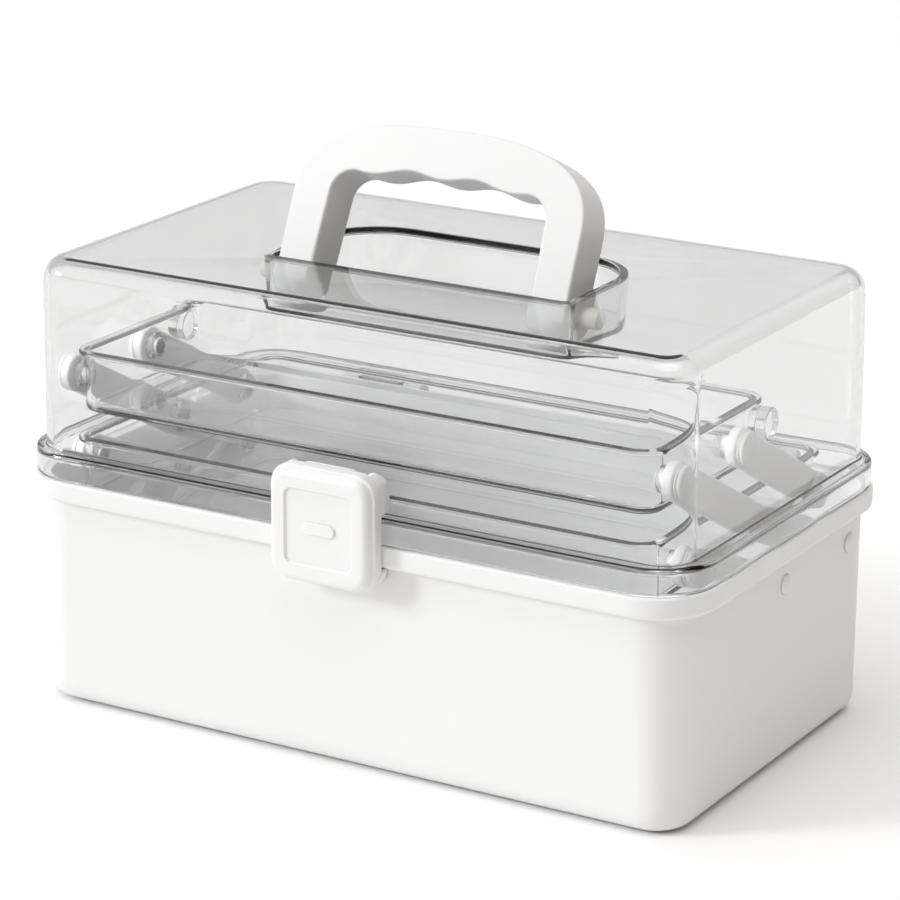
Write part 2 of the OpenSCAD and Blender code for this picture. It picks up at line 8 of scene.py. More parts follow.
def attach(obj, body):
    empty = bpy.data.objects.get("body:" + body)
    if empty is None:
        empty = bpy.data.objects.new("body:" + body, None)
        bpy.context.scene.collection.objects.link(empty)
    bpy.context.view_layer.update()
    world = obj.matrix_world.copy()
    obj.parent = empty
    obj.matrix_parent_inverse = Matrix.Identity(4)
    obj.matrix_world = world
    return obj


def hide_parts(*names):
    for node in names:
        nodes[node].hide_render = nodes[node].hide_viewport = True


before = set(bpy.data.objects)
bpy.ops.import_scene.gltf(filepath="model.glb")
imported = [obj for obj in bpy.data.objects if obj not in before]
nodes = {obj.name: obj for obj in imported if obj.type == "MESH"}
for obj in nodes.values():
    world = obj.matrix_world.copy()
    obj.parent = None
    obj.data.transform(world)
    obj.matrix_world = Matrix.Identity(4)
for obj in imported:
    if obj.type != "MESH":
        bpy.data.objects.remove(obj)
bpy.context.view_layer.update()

# Medicine storage box: a finer form of each part, which rides on the body of the part that it replaces.
# Sizes are in millimetres, as in the part's source. X runs to the right, Y to the rear and Z up.
# A width or depth of tub, lid, flange, well and trays is measured from the middle of the box.
MM = 0.001
SIDES = ((-1, "left"), (1, "right"))

# Tub: TUB_R and TUB_FOOT_R are its corners in plan, TUB_EDGE rounds it between wall and underside
TUB_W = 152.5
TUB_D = 89.0
TUB_H = 99.0
TUB_WALL = 2.5
TUB_R = 22.0
TUB_FOOT_R = 17.0
TUB_EDGE = 8.0
TUB_TAPER = 1.7
RIM_OUT = 4.5
RIM_H = 9.0
RIM_LOW = TUB_H - RIM_H

# Lid and the flange round its foot
LID_W = 150.0
LID_D = 86.5
LID_R = 15.0
LID_EDGE = 8.5
LID_WALL = 2.5
LID_LEAN = 0.6
LID_Z = 99.4
LID_TOP = 189.9
FLANGE_W = 156.0
FLANGE_D = 92.5
FLANGE_R = 25.5
FLANGE_TOP = 110.4

# Flat middle of the roof, inside the rounding along its edge
ROOF_W = LID_W - LID_EDGE - LID_LEAN
ROOF_D = LID_D - LID_EDGE - LID_LEAN
ROOF_R = LID_R - LID_EDGE

# Well in the roof that takes the handle
WELL_W = 69.0
WELL_FRONT = -29.5
WELL_REAR = 35.5
WELL_FLOOR = 169.3
WELL_FRONT_R = 2.5
WELL_REAR_R = 28.0

# Rear hinges: their axis, the middle of each and its knuckles
HINGE_X = 90.5
HINGE_Y = 98.6
HINGE_Z = 99.2
KNUCKLE_R = 4.5
TUB_KNUCKLE_W = 9.0
TUB_KNUCKLE_X = 15.5
LID_KNUCKLE_W = 21.4

# Latch: LATCH_W is half its width, LATCH_BACK the depth of its side walls above the foot
LATCH_W = 24.0
LATCH_H = 48.0
LATCH_TOP = 128.5
LATCH_R = 9.0
LATCH_WALL = 2.2
LATCH_FACE = -103.2
LATCH_BACK = -86.8
LATCH_FOOT = 112.5
LATCH_PIVOT = (-92.5, 123.5)
LATCH_MID = LATCH_TOP - LATCH_H / 2
PLATE_BACK = -TUB_D - RIM_OUT - 0.5
LUG_X = 14.0
LUG_W = 5.0
LUG_R = 2.9
ROD_REACH = 22.5
ROD_R = 1.5

# Handle: its half width, the reach above the pivot and the lean at rest in degrees
HANDLE_PIVOT = (-19.0, 179.8)
HANDLE_LEAN = 24.0
HANDLE_W = 67.4
HANDLE_REACH = 66.5
HANDLE_THICK = 20.0
ARCH_START = 30.0
ARCH_POWER = 2.7
LEG_W = 15.9
LEG_GROW = 1.5
LEG_WIDE_AT = 18.0

# Grip of the handle: inner edge above the pivot, its sag to the sides and the waves for the fingers
GRIP_HEIGHT = 46.6
GRIP_SAG = 3.4
GRIP_CORNER_R = 10.0
FINGER_WAVE = 1.1
FINGER_PITCH = 31.0

# Trays: (front, rear, top) of each, and the studs that carry the upper one
TRAY_W = 133.0
TRAY_H = 26.0
TRAY_WALL = 2.0
TRAY_R = 9.0
TRAY_RIM = 2.5
TRAY_RIM_H = 2.0
TRAY_FOOT_R = 2.5
UPPER_TRAY = (-79.0, 15.5, 151.5)
MIDDLE_TRAY = (-80.5, 70.5, 115.0)
STOP_STUD = (4.885, 142.64)
STUD_R = 6.5

# Arms between ARM_IN and ARM_OUT on both sides, and the pivots as (y, z)
ARM_IN = 136.5
ARM_OUT = 141.0
ARM_HALF_W = 7.5
EYE_R = 8.0
TUB_PIVOTS = [(2.0, 78.5), (61.0, 78.5)]
MIDDLE_PIVOTS = [(-60.5, 103.0), (48.5, 103.0)]
UPPER_PIVOTS = [(-69.5, 139.5), (-19.5, 139.5)]
ELBOW = (-1.5, 103.0)

# Pins: shank, bore round it, and heads, which stand PLAY clear of the arms
PIN_R = 3.5
BORE_R = 3.55
PLAY = 0.3
TRAY_PIN_START = 131.0
TUB_PIN_START = 135.0
TUB_PIN_SEAT = TUB_W - 0.187
HANDLE_PIN_START = 56.45
HANDLE_PIN_END = 80.0
HANDLE_PIN_R = 4.0
DOME_R = 4.3
DOME_H = 1.6

# Camera as fitted to the photograph: pixels of its 900 pixel picture, degrees, and millimetres
PHOTO_PX = 900
FOCAL_PX = 3728.14
SHIFT_X_PX = -2.3
SHIFT_Y_PX = -3.21
AZIMUTH = 30.55
ELEVATION = 17.67
ROLL = 0.24
CAMERA_BACK = 1569.74
CAMERA_RIGHT = 0.55
CAMERA_UP = 105.58


# Materials

def new_material(name):
    mat = bpy.data.materials.new(name)
    mat.use_nodes = True
    return mat, mat.node_tree, mat.node_tree.nodes["Principled BSDF"]


def object_coords(tree):
    return tree.nodes.new("ShaderNodeTexCoord").outputs["Object"]


def noise(tree, coords, scale, detail=2.0):
    tex = tree.nodes.new("ShaderNodeTexNoise")
    tex.inputs["Scale"].default_value = scale
    tex.inputs["Detail"].default_value = detail
    tree.links.new(coords, tex.inputs["Vector"])
    return tex.outputs["Fac"]


def add_tint(tree, shader, value, dark, light):
    """Base colour that goes from dark to light over the middle of a noise value's range."""
    node = tree.nodes.new("ShaderNodeValToRGB")
    first, last = node.color_ramp.elements
    first.position = 0.35
    last.position = 0.65
    first.color = (*dark, 1)
    last.color = (*light, 1)
    tree.links.new(value, node.inputs["Fac"])
    tree.links.new(node.outputs["Color"], shader.inputs["Base Color"])


def add_gloss(tree, shader, value, rough):
    """Roughness that follows a noise value between the two ends of rough."""
    node = tree.nodes.new("ShaderNodeMapRange")
    node.inputs["To Min"].default_value = rough[0]
    node.inputs["To Max"].default_value = rough[1]
    tree.links.new(value, node.inputs["Value"])
    tree.links.new(node.outputs["Result"], shader.inputs["Roughness"])


def add_bump(tree, shader, value, strength, distance):
    """Bump that goes on top of the bumps that the shader has already."""
    node = tree.nodes.new("ShaderNodeBump")
    node.inputs["Strength"].default_value = strength
    node.inputs["Distance"].default_value = distance
    tree.links.new(value, node.inputs["Height"])
    normal = shader.inputs["Normal"]
    if normal.is_linked:
        tree.links.new(normal.links[0].from_socket, node.inputs["Normal"])
    tree.links.new(node.outputs["Normal"], normal)


def moulded_plastic(name, light, dark, rough):
    """Moulded plastic: faint flow marks in its colour, an uneven gloss, a fine skin and slight waves."""
    mat, tree, shader = new_material(name)
    coords = object_coords(tree)
    shader.inputs["IOR"].default_value = 1.49
    add_tint(tree, shader, noise(tree, coords, scale=9.0, detail=3.0), dark, light)
    add_gloss(tree, shader, noise(tree, coords, scale=22.0, detail=4.0), rough)
    add_bump(tree, shader, noise(tree, coords, scale=1400.0), strength=0.04, distance=0.0001)
    add_bump(tree, shader, noise(tree, coords, scale=16.0, detail=1.0), strength=0.05, distance=0.0008)
    return mat


def clear_plastic(name, light, dark, rough, density):
    """Polished clear plastic: a faint drift in tint and polish, and thick walls are greyer than thin ones."""
    mat, tree, shader = new_material(name)
    coords = object_coords(tree)
    shader.inputs["IOR"].default_value = 1.5
    shader.inputs["Transmission Weight"].default_value = 1.0
    add_tint(tree, shader, noise(tree, coords, scale=6.0), dark, light)
    add_gloss(tree, shader, noise(tree, coords, scale=18.0, detail=3.0), rough)
    add_bump(tree, shader, noise(tree, coords, scale=12.0, detail=1.0), strength=0.04, distance=0.0006)
    output = tree.nodes["Material Output"]
    depth = tree.nodes.new("ShaderNodeVolumeAbsorption")
    depth.inputs["Color"].default_value = (0.5, 0.51, 0.51, 1)
    depth.inputs["Density"].default_value = density
    tree.links.new(depth.outputs["Volume"], output.inputs["Volume"])
    let_lamps_through(tree, shader, output)
    return mat


def let_lamps_through(tree, shader, output):
    """Shadow rays pass the clear walls nearly unhindered, so that the inside is lit."""
    path = tree.nodes.new("ShaderNodeLightPath")
    passing = tree.nodes.new("ShaderNodeBsdfTransparent")
    passing.inputs["Color"].default_value = (0.96, 0.96, 0.96, 1)
    either = tree.nodes.new("ShaderNodeMixShader")
    tree.links.new(path.outputs["Is Shadow Ray"], either.inputs["Fac"])
    tree.links.new(shader.outputs["BSDF"], either.inputs[1])
    tree.links.new(passing.outputs["BSDF"], either.inputs[2])
    tree.links.new(either.outputs["Shader"], output.inputs["Surface"])


def drawn_steel(name):
    """Drawn wire with fine lines along X."""
    mat, tree, shader = new_material(name)
    stretch = tree.nodes.new("ShaderNodeMapping")
    stretch.inputs["Scale"].default_value = (20, 900, 900)
    tree.links.new(object_coords(tree), stretch.inputs["Vector"])
    lines = noise(tree, stretch.outputs["Vector"], scale=1.0)
    shader.inputs["Metallic"].default_value = 1.0
    add_tint(tree, shader, lines, dark=(0.5, 0.5, 0.51), light=(0.68, 0.68, 0.69))
    add_gloss(tree, shader, lines, rough=(0.22, 0.42))
    return mat


WHITE = moulded_plastic(
    "white_moulding", light=(0.86, 0.86, 0.86), dark=(0.845, 0.844, 0.842), rough=(0.29, 0.38))
# Darker copy of the white moulding for the handle: painted shade, so that the handle's top reads greyer than
# the tub's white
GRIP_WHITE_PAINTED_SHADE = moulded_plastic(
    "grip_moulding_painted_shade", light=(0.8, 0.8, 0.8), dark=(0.785, 0.784, 0.782), rough=(0.3, 0.4))
ARM_WHITE = moulded_plastic(
    "arm_moulding", light=(0.88, 0.88, 0.88), dark=(0.86, 0.86, 0.858), rough=(0.28, 0.38))
CREAM = moulded_plastic(
    "cream_moulding", light=(0.87, 0.85, 0.79), dark=(0.84, 0.82, 0.76), rough=(0.3, 0.4))
CLEAR_LID = clear_plastic(
    "clear_lid", light=(0.99, 0.99, 0.991), dark=(0.98, 0.98, 0.981), rough=(0.0, 0.02), density=50.0)
CLEAR_TRAY = clear_plastic(
    "clear_tray", light=(0.997, 0.997, 0.998), dark=(0.99, 0.991, 0.992), rough=(0.01, 0.03), density=2.5)
STEEL = drawn_steel("drawn_steel")


# Mesh tools

def make_object(name, bm, mat, body, slot):
    """Smooth object that rides on a body of the frame."""
    bmesh.ops.recalc_face_normals(bm, faces=bm.faces)
    mesh = bpy.data.meshes.new(name)
    bm.to_mesh(mesh)
    bm.free()
    mesh.materials.append(mat)
    for face in mesh.polygons:
        face.use_smooth = True
    obj = bpy.data.objects.new(name, mesh)
    bpy.context.scene.collection.objects.link(obj)
    obj.modifiers.new("weighted", "WEIGHTED_NORMAL").keep_sharp = True
    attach(obj, body)
    return obj


def clamp(value, low, high):
    return max(low, min(high, value))


def arc(start, stop, steps):
    """Angles in radians from start to stop degrees."""
    return [math.radians(start + (stop - start) * i / steps) for i in range(steps + 1)]


def round_points(centre, r, angles):
    return [(centre[0] + r * math.cos(a), centre[1] + r * math.sin(a)) for a in angles]


def rounding(r, steps=4):
    """Steps of a quarter round as distances from its two sides, from (r, 0) to (0, r)."""
    return [(r * (1 - math.sin(a)), r * (1 - math.cos(a))) for a in arc(0, 90, steps)]


def ring(half_w, front, rear, r, z, front_r=None):
    """Rounded rectangle at height z, rear right corner first. front_r is for corners in front that differ."""
    steps = 10
    least_r = 0.1
    front_r = r if front_r is None else front_r
    corners = ((half_w, rear, r), (-half_w, rear, r), (-half_w, front, front_r), (half_w, front, front_r))
    points = []
    for k, (x, y, radius) in enumerate(corners):
        radius = max(radius, least_r)
        cx = x - math.copysign(radius, x)
        cy = y - radius if k < 2 else y + radius
        for i in range(steps + 1):
            a = (k + i / steps) * math.pi / 2
            points.append((cx + radius * math.cos(a), cy + radius * math.sin(a), z))
    return points


def loft(bm, rings, closed=False):
    """Skins a row of rings. An open row gets a face at both ends."""
    rows = [[bm.verts.new(Vector(p) * MM) for p in points] for points in rings]
    pairs = list(zip(rows, rows[1:]))
    if closed:
        pairs.append((rows[-1], rows[0]))
    for a, b in pairs:
        count = len(a)
        for i in range(count):
            j = (i + 1) % count
            bm.faces.new((a[i], a[j], b[j], b[i]))
    if not closed:
        bm.faces.new(rows[0][::-1])
        bm.faces.new(rows[-1])


def lathe(bm, profile, at, side=1, closed=False):
    """Turns a profile of (x, radius) round a line along X through at = (y, z)."""
    steps = 40
    least_r = 0.02
    angles = [2 * math.pi * i / steps for i in range(steps)]
    rings = []
    for x, r in profile:
        rings.append([(side * x, y, z) for y, z in round_points(at, max(r, least_r), angles)])
    loft(bm, rings, closed)


def rod(x0, x1, r, edge):
    """Profile of a rod from x0 to x1 with rounded ends."""
    points = [(x0, 0.0)]
    points += [(x0 + along, r - inset) for inset, along in rounding(edge)]
    points += [(x1 - along, r - inset) for along, inset in rounding(edge)]
    points.append((x1, 0.0))
    return points


def dome(x, r, h):
    """Profile of a dome of height h that stands on a disc of radius r at x."""
    ball = (r * r + h * h) / (2 * h)
    reach = math.degrees(math.asin(r / ball))
    return round_points((x + h - ball, 0.0), ball, arc(reach, 0, 10))


def inset_outline(outline, amount):
    """Moves a closed outline inwards by amount along its corner normals."""
    area = sum(a[0] * b[1] - b[0] * a[1] for a, b in zip(outline, outline[1:] + outline[:1]))
    sign = 1 if area > 0 else -1
    sharpest = 0.5
    moved = []
    for i, p in enumerate(outline):
        a, b = outline[i - 1], outline[(i + 1) % len(outline)]
        n1 = Vector((p[1] - a[1], a[0] - p[0])).normalized() * sign
        n2 = Vector((b[1] - p[1], p[0] - b[0])).normalized() * sign
        n = n1 + n2
        n = n.normalized() if n.length > 1e-6 else n1
        scale = amount / max(sharpest, n.dot(n1))
        moved.append((p[0] - n[0] * scale, p[1] - n[1] * scale))
    return moved


def plate(bm, outline, x0, x1, edge, steps=3, between=1, turn=None):
    """Solid plate across X with rounded edges and its wall in strips. turn maps (x, u, v) to a point."""
    turn = turn or (lambda x, u, v: (x, u, v))
    rings = []
    for inset, x in rounding(edge, steps):
        rings.append([turn(x0 + x, *p) for p in inset_outline(outline, inset)])
    for i in range(1, between):
        x = x0 + edge + (x1 - x0 - 2 * edge) * i / between
        rings.append([turn(x, *p) for p in outline])
    for inset, x in rounding(edge, steps)[::-1]:
        rings.append([turn(x1 - x, *p) for p in inset_outline(outline, inset)])
    loft(bm, rings)


# Tub

def tub_ring(inset, r, z):
    return ring(TUB_W - inset, -TUB_D + inset, TUB_D - inset, r, z)


def tub_outside():
    """Rings from the underside up to the fillet under the rim band."""
    def wall(z, out=0.0):
        drop = (TUB_H - 1 - z) / (TUB_H - 1 - TUB_EDGE)
        return TUB_TAPER * drop - out, TUB_R - (TUB_R - TUB_FOOT_R) * drop + out

    fillet = 1.2
    levels = (12.0, 30.0, 58.0, RIM_LOW - 6.0, RIM_LOW - fillet)
    rings = [tub_ring(TUB_TAPER + inset, TUB_FOOT_R - inset, z) for inset, z in rounding(TUB_EDGE, 8)]
    rings += [tub_ring(*wall(z), z) for z in levels]
    rings += [tub_ring(*wall(RIM_LOW, out), RIM_LOW - down) for down, out in rounding(fillet)]
    return rings


def tub_rim():
    """Rings round the rim band, from its lower edge to the flat top."""
    def band(inset, z):
        return tub_ring(-RIM_OUT + inset, TUB_R + RIM_OUT - inset, z)

    lower = 2.2
    upper = 1.0
    rings = [band(lower + 0.4, RIM_LOW)]
    rings += [band(inset, RIM_LOW + rise) for inset, rise in rounding(lower, 6)]
    rings += [band(0.0, RIM_LOW + lower + 0.6), band(0.0, TUB_H - upper - 0.5)]
    rings += [band(inset, TUB_H - down) for down, inset in rounding(upper)]
    rings.append(band(upper + 0.5, TUB_H))
    return rings


def tub_inside():
    """Rings from the flat top of the rim down to the floor."""
    def lip(inset, z):
        return tub_ring(TUB_WALL + inset, TUB_R - TUB_WALL - inset, z)

    lip_r = 0.8
    edge = TUB_EDGE - TUB_WALL
    levels = (TUB_H - 4, 60.0, 30.0, TUB_EDGE + 3)
    rings = [lip(-1.0, TUB_H)]
    rings += [lip(-inset, TUB_H - down) for inset, down in rounding(lip_r)]
    for z in levels:
        part = (TUB_H - z) / (TUB_H - TUB_EDGE)
        rings.append(tub_ring(TUB_WALL + TUB_TAPER * part, TUB_R - TUB_WALL - (TUB_R - TUB_FOOT_R) * part, z))
    for rise, inset in rounding(edge, 6):
        rings.append(tub_ring(TUB_WALL + TUB_TAPER + inset, TUB_FOOT_R - TUB_WALL - inset, TUB_WALL + rise))
    return rings


def tub_bosses(bm):
    """Sleeves for the arms' pins, on the inside of the side walls."""
    near, far = ARM_OUT + PLAY, TUB_W - 1.6
    chamfer = 0.4
    r = 7.0
    profile = [(near, BORE_R), (near, r - chamfer), (near + chamfer, r), (far, r), (far, BORE_R)]
    for side, _ in SIDES:
        for pivot in TUB_PIVOTS:
            lathe(bm, profile, pivot, side, closed=True)


def build_tub():
    bm = bmesh.new()
    loft(bm, tub_outside() + tub_rim() + tub_inside())
    tub_bosses(bm)
    tub = make_object("tub", bm, WHITE, "tub", "white_plastic")
    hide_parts("base_tub")


def knuckle(bm, middle, width, web_y, web_low, web_high):
    """Hinge knuckle round the hinge's axis, with a web towards the front."""
    low = math.asin(clamp((web_low - HINGE_Z) / KNUCKLE_R, -1.0, 1.0))
    high = math.asin(clamp((web_high - HINGE_Z) / KNUCKLE_R, -1.0, 1.0))
    turn = arc(180 - math.degrees(high), -180 - math.degrees(low), 32)
    outline = round_points((HINGE_Y, HINGE_Z), KNUCKLE_R, turn) + [(web_y, web_low), (web_y, web_high)]
    plate(bm, outline, middle - width / 2, middle + width / 2, edge=0.4)


def build_tub_knuckles():
    """Two knuckles for each hinge, on both sides of the lid's knuckle."""
    web = {"web_y": TUB_D + RIM_OUT - 0.6, "web_low": TUB_H - 6.75, "web_high": TUB_H - 0.25}
    for side, word in SIDES:
        bm = bmesh.new()
        for offset in (-TUB_KNUCKLE_X, TUB_KNUCKLE_X):
            knuckle(bm, side * HINGE_X + offset, TUB_KNUCKLE_W, **web)
        make_object("tub_knuckles_" + word, bm, WHITE, "tub", "white_plastic")


# Lid

def well_ring(out, z):
    front, rear = WELL_FRONT - out, WELL_REAR + out
    return ring(WELL_W + out, front, rear, WELL_REAR_R + out, z, front_r=WELL_FRONT_R + out)


def roof_ring(out, z):
    return ring(ROOF_W + out, -ROOF_D - out, ROOF_D + out, ROOF_R + out, z)


def lid_ring(out, z):
    """Ring of the lid's wall, which leans in towards the roof."""
    out -= LID_LEAN * (z - FLANGE_TOP) / (LID_TOP - FLANGE_TOP)
    return ring(LID_W + out, -LID_D - out, LID_D + out, LID_R + out, z)


def flange_ring(inset, z):
    return ring(FLANGE_W - inset, -FLANGE_D + inset, FLANGE_D - inset, FLANGE_R - inset, z)


def lid_outside():
    """Rings from the well's floor over the roof and down to the flange's lower edge."""
    floor_r = 1.2
    lip_r = 0.8
    fillet = 1.0
    flange_edge = 1.6
    rings = [well_ring(-inset, WELL_FLOOR + rise) for rise, inset in rounding(floor_r)[::-1]]
    rings += [well_ring(0, WELL_FLOOR + floor_r + 1), well_ring(0, LID_TOP - 2 * lip_r)]
    rings += [well_ring(out, LID_TOP - down) for down, out in rounding(lip_r)]
    rings += [well_ring(2 * lip_r, LID_TOP), roof_ring(-1, LID_TOP)]
    rings += [roof_ring(LID_EDGE - inset, LID_TOP - down) for down, inset in rounding(LID_EDGE, 10)[::-1]]
    rings += [lid_ring(0, LID_TOP - LID_EDGE - 2), lid_ring(0, FLANGE_TOP + 2)]
    rings += [lid_ring(out, FLANGE_TOP + rise) for rise, out in rounding(fillet)]
    rings.append(flange_ring(flange_edge + 0.3, FLANGE_TOP))
    rings += [flange_ring(inset, FLANGE_TOP - down) for down, inset in rounding(flange_edge, 5)[::-1]]
    rings += [flange_ring(0.0, LID_Z + 1), flange_ring(0.15, LID_Z + 0.15), flange_ring(0.5, LID_Z)]
    return rings


def lid_inside():
    """Rings from the flange's lower edge up to the roof and down under the well's floor."""
    fillet = 1.0
    edge = LID_EDGE - LID_WALL
    under_flange = FLANGE_TOP - LID_WALL
    under_roof = LID_TOP - LID_WALL
    under_well_r = 1.5
    rings = [flange_ring(LID_WALL - 0.5, LID_Z), flange_ring(LID_WALL - 0.1, LID_Z + 0.3)]
    rings += [flange_ring(LID_WALL, LID_Z + 1), flange_ring(LID_WALL, under_flange - 1.2)]
    rings += [flange_ring(LID_WALL + inset, under_flange - down) for down, inset in rounding(fillet)]
    rings.append(lid_ring(1.2 - LID_WALL, under_flange))
    rings += [lid_ring(out - LID_WALL, under_flange + rise) for out, rise in rounding(fillet)[::-1]]
    rings += [lid_ring(-LID_WALL, under_flange + 2), lid_ring(-LID_WALL, under_roof - edge - 2)]
    rings += [roof_ring(edge - inset, under_roof - down) for down, inset in rounding(edge, 8)]
    rings += [roof_ring(-1, under_roof), well_ring(LID_WALL + 1.2, under_roof)]
    rings += [well_ring(LID_WALL + out, under_roof - down) for out, down in rounding(fillet)[::-1]]
    rings.append(well_ring(LID_WALL, WELL_FLOOR))
    for rise, inset in rounding(under_well_r):
        rings.append(well_ring(LID_WALL - inset, WELL_FLOOR - LID_WALL + rise))
    return rings


def build_lid():
    bm = bmesh.new()
    loft(bm, lid_outside() + lid_inside())
    lid = make_object("lid", bm, CLEAR_LID, "lid", "clear_plastic")
    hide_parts("lid_shell")


def build_lid_knuckles():
    web = {"web_y": FLANGE_D - 0.4, "web_low": HINGE_Z + 0.5, "web_high": HINGE_Z + 4.4}
    bm = bmesh.new()
    for side, _ in SIDES:
        knuckle(bm, side * HINGE_X, LID_KNUCKLE_W, **web)
    make_object("lid_knuckles", bm, CLEAR_LID, "lid", "clear_plastic")


def build_lugs():
    """Two lugs on the lid's front wall that hold the latch's rod."""
    y, z = LATCH_PIVOT
    root = -LID_D + 0.2
    outline = [(root, z + 0.4)] + round_points((y, z), LUG_R, arc(30, 270, 20)) + [(root, z - LUG_R)]
    bm = bmesh.new()
    for x in (-LUG_X, LUG_X):
        plate(bm, outline, x - LUG_W / 2, x + LUG_W / 2, edge=0.4)
    make_object("latch_lugs", bm, CLEAR_LID, "lid", "clear_plastic")


# Trays

def tray_rings(front, rear, top):
    """Rings from a tray's underside over its rim and down to its floor."""
    def wall(out, z):
        return ring(TRAY_W + out, front + TRAY_RIM - out, rear - TRAY_RIM + out, TRAY_R + out, z)

    low = top - TRAY_H
    floor = low + TRAY_WALL
    under_rim = top - TRAY_RIM_H
    fillet = 0.5
    edge = 0.9
    lip = 0.7
    floor_r = 2.0
    rings = [wall(-inset, low + rise) for inset, rise in rounding(TRAY_FOOT_R, 5)]
    rings += [wall(0, low + TRAY_FOOT_R + 1), wall(0, under_rim - 1.4)]
    rings += [wall(out, under_rim - down) for down, out in rounding(fillet, 3)]
    rings += [wall(TRAY_RIM - inset, under_rim + rise) for inset, rise in rounding(edge)]
    rings += [wall(TRAY_RIM - inset, top - down) for down, inset in rounding(edge)]
    rings += [wall(-TRAY_WALL + out, top - down) for out, down in rounding(lip)]
    rings += [wall(-TRAY_WALL, top - 2), wall(-TRAY_WALL, floor + 3)]
    rings += [wall(-TRAY_WALL - inset, floor + rise) for rise, inset in rounding(floor_r)]
    return rings


def tray_bosses(bm, pivots):
    """Sleeves for the pins, on the outside of a tray's ends."""
    near, far = TRAY_W + 0.02, ARM_IN - PLAY
    chamfer = 0.3
    r = 5.5
    profile = [(near, BORE_R), (near, r), (far - chamfer, r), (far, r - chamfer), (far, BORE_R)]
    for side, _ in SIDES:
        for pivot in pivots:
            lathe(bm, profile, pivot, side, closed=True)


def stop_studs(bm):
    """Studs of the upper tray that rest on the long arms."""
    for side, _ in SIDES:
        lathe(bm, rod(TRAY_W + 0.02, ARM_OUT, STUD_R, edge=0.6), STOP_STUD, side)


def build_tray(name, node, body, place, pivots, studs=False):
    bm = bmesh.new()
    loft(bm, tray_rings(*place))
    tray = make_object(name, bm, CLEAR_TRAY, body, "clear_plastic")
    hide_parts(node)
    bm = bmesh.new()
    tray_bosses(bm, pivots)
    if studs:
        stop_studs(bm)
    make_object(name + "_bosses", bm, CLEAR_TRAY, body, "clear_plastic")


# Pins

def domed_head(x):
    """Profile of a domed head. Its doubled first point keeps the shading of face and dome apart."""
    return [(x, DOME_R)] + dome(x, DOME_R, DOME_H)


def button_profile():
    """Profile of a tray's pin: a chamfered shank, a flat head with a beaded edge and a button on it."""
    head = ARM_OUT + PLAY
    top = head + 3.0
    chamfer = 0.4
    bead_r = 0.4
    head_r = 7.1
    button_r = 6.95
    button_side = head + 1.7
    button_edge = 0.9
    cap_r = 4.5
    start = TRAY_PIN_START
    profile = [(start, 0.0), (start, PIN_R - chamfer), (start + chamfer, PIN_R)]
    profile += [(head, PIN_R), (head, head_r)]
    profile += [(head + bead_r - bead_r * math.cos(a), head_r + bead_r * math.sin(a)) for a in arc(0, 180, 6)]
    profile += [(head + 2 * bead_r + 0.05, button_r), (button_side, button_r)]
    profile += [(button_side + button_edge - back, button_r - inset) for back, inset in rounding(button_edge)]
    profile += [(top - chamfer, cap_r + chamfer), (top, cap_r), (top, 0.0)]
    return profile


def elbow_pin_profile():
    start = TRAY_PIN_START
    head = ARM_OUT + PLAY
    return [(start, 0.0), (start, PIN_R), (head, PIN_R)] + domed_head(head)


def handle_pin_profile():
    """Profile of a plain pin with a chamfered inner end and a domed outer end."""
    start = HANDLE_PIN_START
    r = HANDLE_PIN_R
    chamfer = 0.3
    inner_end = [(start, 0.0), (start, r - chamfer), (start + chamfer, r)]
    return inner_end + dome(HANDLE_PIN_END - DOME_H, r, DOME_H)


def tub_pin_profile():
    """Profile of a pin in the tub's wall: a collar at the inner end and a domed head outside."""
    start = TUB_PIN_START
    collar_end = start + 1.2
    collar_r = 4.3
    chamfer = 0.3
    collar = [(start, 0.0), (start, collar_r - chamfer), (start + chamfer, collar_r), (collar_end, collar_r)]
    seat = TUB_PIN_SEAT
    return collar + [(collar_end, PIN_R), (seat, PIN_R)] + domed_head(seat)


def build_pin(prefix, word, profile, pivots, side, mat, body, slot):
    bm = bmesh.new()
    for pivot in pivots:
        lathe(bm, profile, pivot, side)
    pins = make_object("shown_" + prefix + word, bm, mat, body, slot)
    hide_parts(prefix + word)


def build_pins():
    groups = (
        ("middle_tray_pins_", button_profile(), MIDDLE_PIVOTS, WHITE, "middle_level", "white_plastic"),
        ("upper_tray_pins_", button_profile(), UPPER_PIVOTS, WHITE, "upper_level", "white_plastic"),
        ("elbow_pin_", elbow_pin_profile(), [ELBOW], WHITE, "middle_level", "white_plastic"),
        ("tub_pins_", tub_pin_profile(), TUB_PIVOTS, WHITE, "tub", "white_plastic"),
        ("handle_pin_", handle_pin_profile(), [HANDLE_PIVOT], CREAM, "carry_handle", "cream_plastic"),
    )
    for side, word in SIDES:
        for prefix, profile, pivots, mat, body, slot in groups:
            build_pin(prefix, word, profile, pivots, side, mat, body, slot)


# Arms

def at_angle(a):
    return Vector((math.cos(a), math.sin(a)))


def left_of(v):
    return Vector((-v.y, v.x))


def heading(v):
    return math.atan2(v.y, v.x)


def eye(centre, away):
    """Points round the eye at a bar's end, from one side of the bar to the other. away points off the end."""
    neck = math.degrees(math.asin(ARM_HALF_W / EYE_R))
    return [centre + EYE_R * at_angle(heading(away) + a) for a in arc(-180 + neck, 180 - neck, 24)]


def bend(before, centre, after, side):
    """Points on one side of a bend: an arc where it turns away, one corner where it turns in."""
    steps = 8
    d0, d1 = (centre - before).normalized(), (after - centre).normalized()
    if (d0.x * d1.y - d0.y * d1.x) * side < 0:
        a0, a1 = heading(d0), heading(d1)
        angles = [a0 + (a1 - a0) * k / steps + side * math.pi / 2 for k in range(steps, -1, -1)]
        return [centre + ARM_HALF_W * at_angle(a) for a in angles]
    mid = (left_of(d0) + left_of(d1)).normalized()
    return [centre + mid * (ARM_HALF_W / mid.dot(left_of(d0))) * side]


